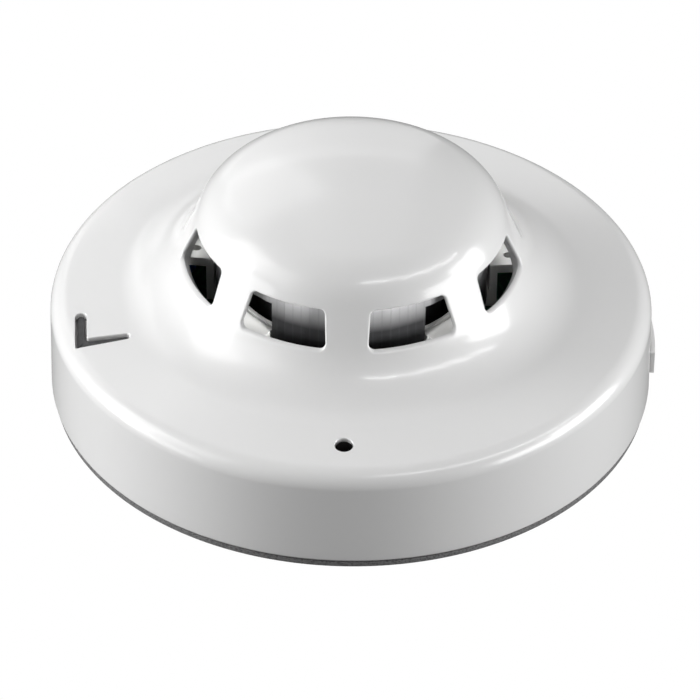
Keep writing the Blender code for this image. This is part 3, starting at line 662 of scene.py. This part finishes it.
def mark_outline(grow):
    """The mark's outline, counter-clockwise, grown by grow."""
    def end(centre, a0, a1):
        return [Vector((centre[0] + centre[2] * math.cos(math.radians(a0 + (a1 - a0) * k / 12)),
                        centre[1] + centre[2] * math.sin(math.radians(a0 + (a1 - a0) * k / 12)))) for k in range(13)]

    heel, crook = Vector(MARK_HEEL), Vector(MARK_CROOK)
    b_end, a_end = end(MARK_END_B, -80.0, 85.0), end(MARK_END_A, 0.0, 180.0)
    soft = []
    for prev, corner, after, radius in ((a_end[-1], heel, b_end[0], 0.35), (b_end[-1], crook, a_end[0], 0.45)):
        p0, p1 = corner + (prev - corner).normalized() * radius, corner + (after - corner).normalized() * radius
        soft.append([(p0 * (1 - t) * (1 - t) + corner * 2 * t * (1 - t) + p1 * t * t) for t in (0.0, 0.25, 0.5, 0.75, 1.0)])
    points = soft[0] + b_end + soft[1] + a_end
    out = []
    for i, p in enumerate(points):
        e0, e1 = (p - points[i - 1]).normalized(), (points[(i + 1) % len(points)] - p).normalized()
        n0, n1 = Vector((e0.y, -e0.x)), Vector((e1.y, -e1.x))
        out.append(p + (n0 + n1) * (grow / (1.0 + n0.dot(n1))))
    return out


MARK_MID = (Vector(MARK_END_A[:2]) + Vector(MARK_END_B[:2])) / 2
MARK_OUT = MARK_MID.normalized()


def mark_level(p, level):
    return (p.x, p.y, lamp_surface(p.dot(MARK_OUT)) + level)


def cut(obj, other, operation="DIFFERENCE"):
    mod = obj.modifiers.new(other.name, "BOOLEAN")
    mod.operation = operation
    mod.object = other
    mod.solver = "EXACT"


cover = build_cover()
helpers = []

# round hole for the lamp, with a rolled lip
hole = []
for r, z in [(1.45, 14.0), (1.45, -0.16)] + [(1.45 + 0.14 * (1 - math.cos(math.radians(a))), -0.16 + 0.16 * math.sin(math.radians(a))) for a in (20, 40, 58)] + [(1.56, 0.05), (1.75, 0.40), (1.75, 2.0)]:
    hole.append((r, z))
loops = []
for r, z in hole:
    loop = []
    for k in range(40):
        a = 2 * math.pi * k / 40
        x, y = r * math.cos(a), -LAMP_R + r * math.sin(a)
        level = lamp_surface(math.hypot(x, y)) if z < 10 else 0.0
        loop.append((x, y, (level + z) if z < 10 else z))
    loops.append(loop)
helpers.append(helper("lamp_hole_tool", loft(loops)))

# the mark's pocket, with rolled edges
loops = []
for grow, level in [(0.0, -1.25), (0.0, -0.22), (0.03, -0.11), (0.09, -0.03), (0.16, 0.04), (0.30, 0.30), (0.30, 3.0)]:
    loops.append([mark_level(p, level) for p in mark_outline(grow)])
helpers.append(helper("mark_tool", loft(loops)))

# the latch tab's opening
loops = []
top_edge, low_edge = TAB_Z[1] + 0.3, TAB_Z[0] - 0.9
for r, grow in [(46.8, 0.0), (49.55, 0.0), (49.8, 0.06), (49.95, 0.22), (50.3, 0.3), (54.0, 0.3)]:
    loop = []
    half = math.radians(TAB_HALF + 0.35)
    corner = 0.5 + grow
    y1 = half * r + grow
    z0_, z1_ = low_edge - grow, top_edge + grow
    for cy, cz, start in ((y1 - corner, z0_ + corner, -90), (y1 - corner, z1_ - corner, 0), (-y1 + corner, z1_ - corner, 90), (-y1 + corner, z0_ + corner, 180)):
        for k in range(5):
            a = math.radians(start + 22.5 * k)
            yy, zz = cy + corner * math.cos(a), cz + corner * math.sin(a)
            th = yy / r
            loop.append(rot_az(TAB_AZ) @ Vector((r * math.cos(th), r * math.sin(th), zz)))
    loops.append(loop)
helpers.append(helper("tab_tool", loft(loops)))

for h in helpers:
    cut(cover, h)
for az in PILLAR_AZ:
    bm = bmesh.new()
    bmesh.ops.create_cone(bm, cap_ends=True, segments=28, radius1=2.6 * MM, radius2=2.6 * MM, depth=7.7 * MM)
    bm.transform(rot_az(az) @ Matrix.Translation(Vector((PILLAR_R, 0, 14.35)) * MM))
    post = helper("pillar_tool", bm)
    bm = bmesh.new()
    bmesh.ops.create_cone(bm, cap_ends=True, segments=20, radius1=1.5 * MM, radius2=1.5 * MM, depth=6.7 * MM)
    bm.transform(rot_az(az) @ Matrix.Translation(Vector((PILLAR_R, 0, 12.85)) * MM))
    bore = helper("pillar_bore_tool", bm)
    cut(cover, post, "UNION")
    cut(cover, bore)
    helpers += [post, bore]
apply_modifiers(cover)
for h in helpers:
    bpy.data.objects.remove(h, do_unlink=True)
cover.data.materials.clear()
cover.data.materials.append(M["cover_white"])
cover.data.shade_smooth()
cover.data.set_sharp_from_angle(angle=math.radians(38))
weigh = cover.modifiers.new("weigh", "WEIGHTED_NORMAL")
weigh.mode = "FACE_AREA"
weigh.weight = 50
weigh.keep_sharp = True
apply_modifiers(cover)
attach(cover, "head")
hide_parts("outer_cover")
check = bmesh.new()
check.from_mesh(cover.data)
print("cover faces", len(cover.data.polygons), "open edges", sum(1 for e in check.edges if len(e.link_faces) != 2), "volume mm3", round(check.calc_volume() / MM ** 3))
check.free()

# ---------------------------------------------------------------------------------------------------- mark, lamp lens, gasket, tab
mark_mat = Mat("mark_grey")
mark_mat = mark_mat.done(mark_mat.ramp(mark_mat.noise(500.0, 4.0), [(0.3, (0.030, 0.030, 0.031)), (0.7, (0.062, 0.062, 0.063))]),
                         0.55, mark_mat.bump(mark_mat.noise(5200.0, 2.0), 0.3, 0.00003), 0.0)
M["mark_grey"] = mark_mat
loops = []
for grow, level in [(-0.32, -0.95), (-0.30, -0.93), (-0.30, -0.60), (-0.33, -0.51), (-0.40, -0.46), (-0.48, -0.45)]:
    loops.append([mark_level(p, level) for p in mark_outline(grow)])
bm = loft(loops)
bmesh.ops.recalc_face_normals(bm, faces=bm.faces[:])
inlay = from_bm("mark_inlay", bm, M["mark_grey"], "head", 50.0)
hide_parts("locating_mark")

surface = lamp_surface(LAMP_R)
lens = ring_solid("lamp_lens", [(0.0, surface - 0.06), (0.5, surface - 0.08), (0.9, surface - 0.15), (1.15, surface - 0.26), (1.28, surface - 0.40),
                                (1.32, surface - 0.6), (1.32, 15.7), (1.45, 15.4), (1.8, 15.25), (1.9, 15.1), (1.9, 14.8), (1.8, 14.7), (0.0, 14.7)],
                  40, M["lamp_smoked"], "head", closed=False, matrix=Matrix.Translation((0, -LAMP_R * MM, 0)))
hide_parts("light_pipe")

# the gasket ring, dark grey as painted shade for the gap under the skirt
gasket = ring_solid("rim_gasket", [(47.45, 0.9), (49.25, 0.9), (49.45, 0.84), (49.57, 0.7), (49.6, 0.5), (49.6, 0.0), (47.4, 0.0), (47.4, 0.85)],
                    240, M["gasket_foam"], "base", angle=50.0)
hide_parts("base_gasket")


def tab_mesh():
    bm = bmesh.new()
    loops = []
    for r, grow in [(46.9, 0.0), (50.2, 0.0), (50.5, -0.06), (50.64, -0.18), (50.7, -0.38)]:
        loop = []
        half = math.radians(TAB_HALF)
        corner = max(0.45 + grow, 0.05)
        y1 = half * r + grow
        z0_, z1_ = TAB_Z[0] - grow, TAB_Z[1] + grow
        for cy, cz, start in ((y1 - corner, z0_ + corner, -90), (y1 - corner, z1_ - corner, 0), (-y1 + corner, z1_ - corner, 90), (-y1 + corner, z0_ + corner, 180)):
            for k in range(5):
                a = math.radians(start + 22.5 * k)
                yy, zz = cy + corner * math.cos(a), cz + corner * math.sin(a)
                th = yy / r
                loop.append(rot_az(TAB_AZ) @ Vector((r * math.cos(th), r * math.sin(th), zz)))
        loops.append(loop)
    return loft(loops)


bm = tab_mesh()
bmesh.ops.recalc_face_normals(bm, faces=bm.faces[:])
tab = from_bm("latch_tab_cap", bm, M["cover_white"], "release_tab", 40.0)

INSIDE = []


def spring_mesh(name, radius, wire, z0, z1, turns, mat, body, matrix):
    """A round-wire compression spring with its tips ground round."""
    per, ring = 48, 14
    n = int(turns * per)
    centres = []
    for i in range(n + 1):
        f = i / n
        rise = f + 0.030 * math.sin(4 * math.pi * f) - 0.0
        centres.append(Vector((radius * math.cos(2 * math.pi * i / per), radius * math.sin(2 * math.pi * i / per), z0 + (z1 - z0) * min(max(rise, 0.0), 1.0))))
    bm = bmesh.new()
    rows = []
    for i, c in enumerate(centres):
        d = (centres[min(i + 1, n)] - centres[max(i - 1, 0)]).normalized()
        out = Vector((c.x, c.y, 0.0)).normalized()
        side = d.cross(out).normalized()
        out = side.cross(d)
        edge = min(i, n - i)
        r = wire * (0.55, 0.85, 1.0)[min(edge, 2)]
        rows.append([bm.verts.new((c + (out * math.cos(2 * math.pi * k / ring) + side * math.sin(2 * math.pi * k / ring)) * r) * MM) for k in range(ring)])
    for p, q in zip(rows, rows[1:]):
        for k in range(ring):
            bm.faces.new((p[k], p[(k + 1) % ring], q[(k + 1) % ring], q[k]))
    bm.faces.new(rows[0])
    bm.faces.new(rows[-1][::-1])
    bmesh.ops.recalc_face_normals(bm, faces=bm.faces[:])
    bm.transform(matrix)
    return from_bm(name, bm, mat, body, 60.0)


tab_turn = rot_az(TAB_AZ) @ Matrix.Translation(Vector((0, 0, 6.2)) * MM) @ Matrix.Rotation(math.radians(90.0), 4, "Y")
latch_spring = spring_mesh("latch_spring", 1.5, 0.27, 38.52, 42.88, 4.0, M["spring_steel"], "head", tab_turn)
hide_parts("release_spring")
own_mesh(latch_spring)


# ---------------------------------------------------------------------------------------------------- finishes on the carried-over solids
slots = {s["node"]: s["material_slot"] for s in frame["record"]["subparts"]}
for name, obj in NODES.items():
    s = slots[name]
    if s in M:
        obj.data.materials.clear()
        obj.data.materials.append(M[s])
    obj.data.shade_smooth()
    obj.data.set_sharp_from_angle(angle=math.radians(32))

sleeve = Mat("capacitor_sleeve")
M["capacitor_sleeve"] = sleeve.done(sleeve.ramp(sleeve.noise(60.0, 3.0), [(0.3, (0.012, 0.018, 0.06)), (0.7, (0.02, 0.03, 0.09))]), 0.28,
                                    sleeve.bump(sleeve.noise(900.0, 2.0), 0.1, 0.00003), 0.0)
NODES["line_capacitor"].data.materials.clear()
NODES["line_capacitor"].data.materials.append(M["capacitor_sleeve"])
for k, az in enumerate((134.0, 142.0, 150.0, 158.0)):
    d = (math.sin(math.radians(az)), -math.cos(math.radians(az)), 0.0)
    sets = [((0.25, 0.02, 0.01), (0.12, 0.02, 0.30), (0.55, 0.30, 0.02)), ((0.30, 0.12, 0.02), (0.01, 0.01, 0.01), (0.45, 0.02, 0.02)),
            ((0.5, 0.4, 0.02), (0.12, 0.02, 0.30), (0.02, 0.12, 0.03)), ((0.30, 0.12, 0.02), (0.25, 0.02, 0.01), (0.5, 0.4, 0.02))][k]
    mat = banded(f"resistor_tan_{k + 1}", (0.52, 0.40, 0.26), [(0.14, 0.1, sets[0]), (0.34, 0.1, sets[1]), (0.54, 0.1, sets[2]), (0.80, 0.08, (0.5, 0.36, 0.1))],
                 Vector(d) * 0.0318, d, 0.0052)
    o = NODES[f"resistor_{k + 1}"]
    o.data.materials.clear()
    o.data.materials.append(mat)
for k, az in enumerate((256.0, 263.0, 270.0, 277.0)):
    d = (math.sin(math.radians(az)), -math.cos(math.radians(az)), 0.0)
    mat = banded(f"diode_black_{k + 1}", (0.018, 0.018, 0.02), [(0.74, 0.12, (0.55, 0.55, 0.55))], Vector(d) * 0.033, d, 0.0042)
    o = NODES[f"diode_{k + 1}"]
    o.data.materials.clear()
    o.data.materials.append(mat)

# ---------------------------------------------------------------------------------------------------- stage, lights, camera
floor_mat = Mat("floor_pale")
floor_mat.m.node_tree.nodes.remove(floor_mat.p)
em = floor_mat.t.nodes.new("ShaderNodeEmission")
em.inputs["Color"].default_value = (1.0, 1.0, 1.0, 1.0)
em.inputs["Strength"].default_value = 1.0
floor_mat.link(em.outputs[0], floor_mat.out.inputs["Surface"])
bpy.ops.mesh.primitive_plane_add(size=6.0, location=(0, 0, -0.00005))
floor = bpy.context.object
floor.name = "floor"
floor.data.materials.append(floor_mat.m)
floor.visible_diffuse = False
floor.visible_glossy = False

world = bpy.data.worlds.new("studio")
scene.world = world
world.use_nodes = True
world.node_tree.nodes["Background"].inputs["Color"].default_value = (1.0, 1.0, 1.0, 1.0)
world.node_tree.nodes["Background"].inputs["Strength"].default_value = 0.10


def area(name, loc, target, size, power, shape="RECTANGLE"):
    light = bpy.data.lights.new(name, "AREA")
    light.shape = shape
    light.size, light.size_y = size
    light.energy = power
    obj = bpy.data.objects.new(name, light)
    scene.collection.objects.link(obj)
    obj.location = loc
    obj.rotation_euler = (Vector(target) - Vector(loc)).to_track_quat("-Z", "Y").to_euler()
    return obj


def box_at(name, az, el, size, power, dist=0.8):
    a, e = math.radians(az), math.radians(el)
    return area(name, (dist * math.sin(a) * math.cos(e), -dist * math.cos(a) * math.cos(e), dist * math.sin(e) + 0.02), (0, 0, 0.02), size, power)


box_at("right_low", 90, 12, (0.40, 0.40), 3.5)
box_at("left_low", 270, 12, (0.40, 0.40), 5.5)
box_at("left_high", 270, 36, (0.36, 0.36), 1.25)
box_at("left_front_high", 300, 36, (0.36, 0.36), 0.62)
box_at("left_back_high", 210, 36, (0.40, 0.40), 0.65)
box_at("back_low", 190, 14, (0.60, 0.40), 0.65)
box_at("back_high", 180, 36, (0.36, 0.36), 0.22)
box_at("back_top", 180, 62, (0.40, 0.40), 0.30)
area("right_front_low", (0.75, -0.35, 0.10), (0, 0, 0.02), (0.40, 0.30), 2.3)
area("left_front_low", (-0.75, -0.35, 0.10), (0, 0, 0.02), (0.40, 0.30), 1.0)
for k, (az, el, power) in enumerate(((22, 52, 0.32), (40, 50, 0.20), (56, 46, 0.26), (72, 42, 0.26), (88, 37, 0.24))):
    box_at(f"right_strip_{k + 1}", az, el, (0.20, 0.045), power)

# a lamp for the inside only, so that what shows through the windows can be read
receivers = bpy.data.collections.new("inside")
for o in [NODES["air_chamber"], NODES["chamber_base"]] + INSIDE:
    receivers.objects.link(o)
for name, az, el, power in (("inside_left", -32, 24, 7.0), ("inside_right", 34, 22, 15.0), ("inside_top", 180, 70, 5.0)):
    lamp_ = box_at(name, az, el, (0.25, 0.20), power)
    lamp_.light_linking.receiver_collection = receivers

turn_az = Matrix.Rotation(math.radians(1.2), 4, "Z")
eye = turn_az @ Vector((0.0, -0.56245, 0.43678))
aim = turn_az @ Vector((-0.0001, -0.0070, 0.0106))
cam = bpy.data.cameras.new("photo_view")
cam.sensor_width = 36.0
cam.lens = 218.07
cam.clip_start = 0.01
camera = bpy.data.objects.new("photo_view", cam)
scene.collection.objects.link(camera)
look = (aim - eye).to_track_quat("-Z", "Y").to_matrix().to_4x4()
camera.matrix_world = Matrix.Translation(eye) @ look @ Matrix.Rotation(math.radians(0.6), 4, "Z")
scene.camera = camera
scene.view_settings.view_transform = "Standard"
scene.view_settings.look = "None"

import json
